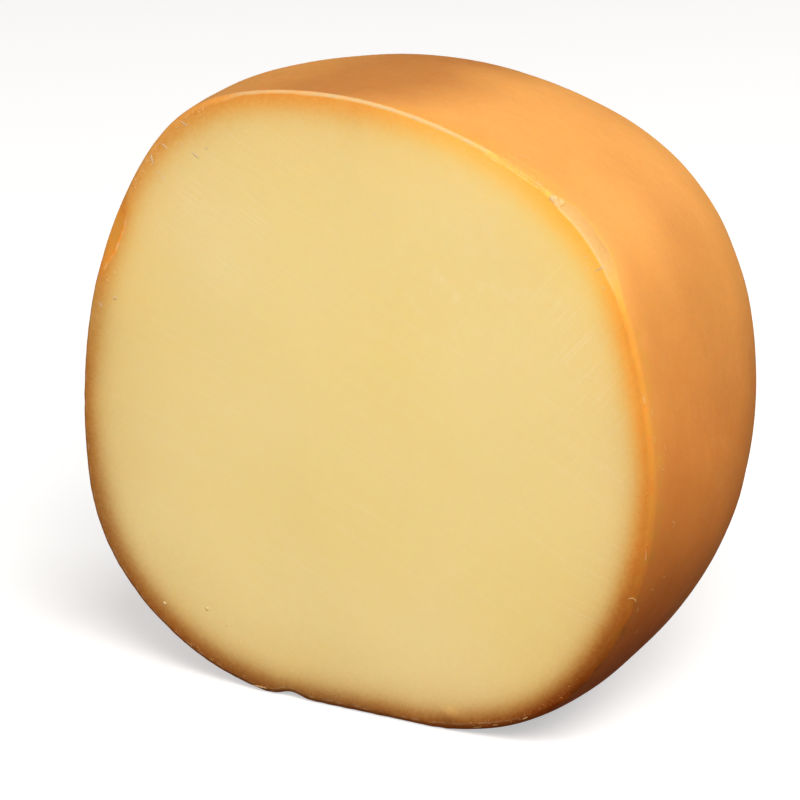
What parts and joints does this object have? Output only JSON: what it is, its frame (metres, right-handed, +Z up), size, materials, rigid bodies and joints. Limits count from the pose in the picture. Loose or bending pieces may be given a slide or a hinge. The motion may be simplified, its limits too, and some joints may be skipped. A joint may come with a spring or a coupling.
{
  "type": "smoked provolone half",
  "caption": "Half of a rounded smoked cheese with a flat cut face, a soft worn edge and a waxy brown rind, resting on a small flat foot.",
  "frame": {"origin": "on the ground, under the middle of the bounding box", "axes": "+X across the width of the cut face, +Y from the cut face to the round back, +Z up"},
  "size_m": [0.131, 0.104, 0.1234],
  "materials": {
    "rind": "smooth, waxy, semi-gloss smoked rind, light orange to dark brown",
    "paste": "cut pale yellow cheese, satin, with fine knife marks and a brown smoke line at the edge"
  },
  "bodies": {
    "root": {"cheese": "rind"}
  },
  "joints": []
}
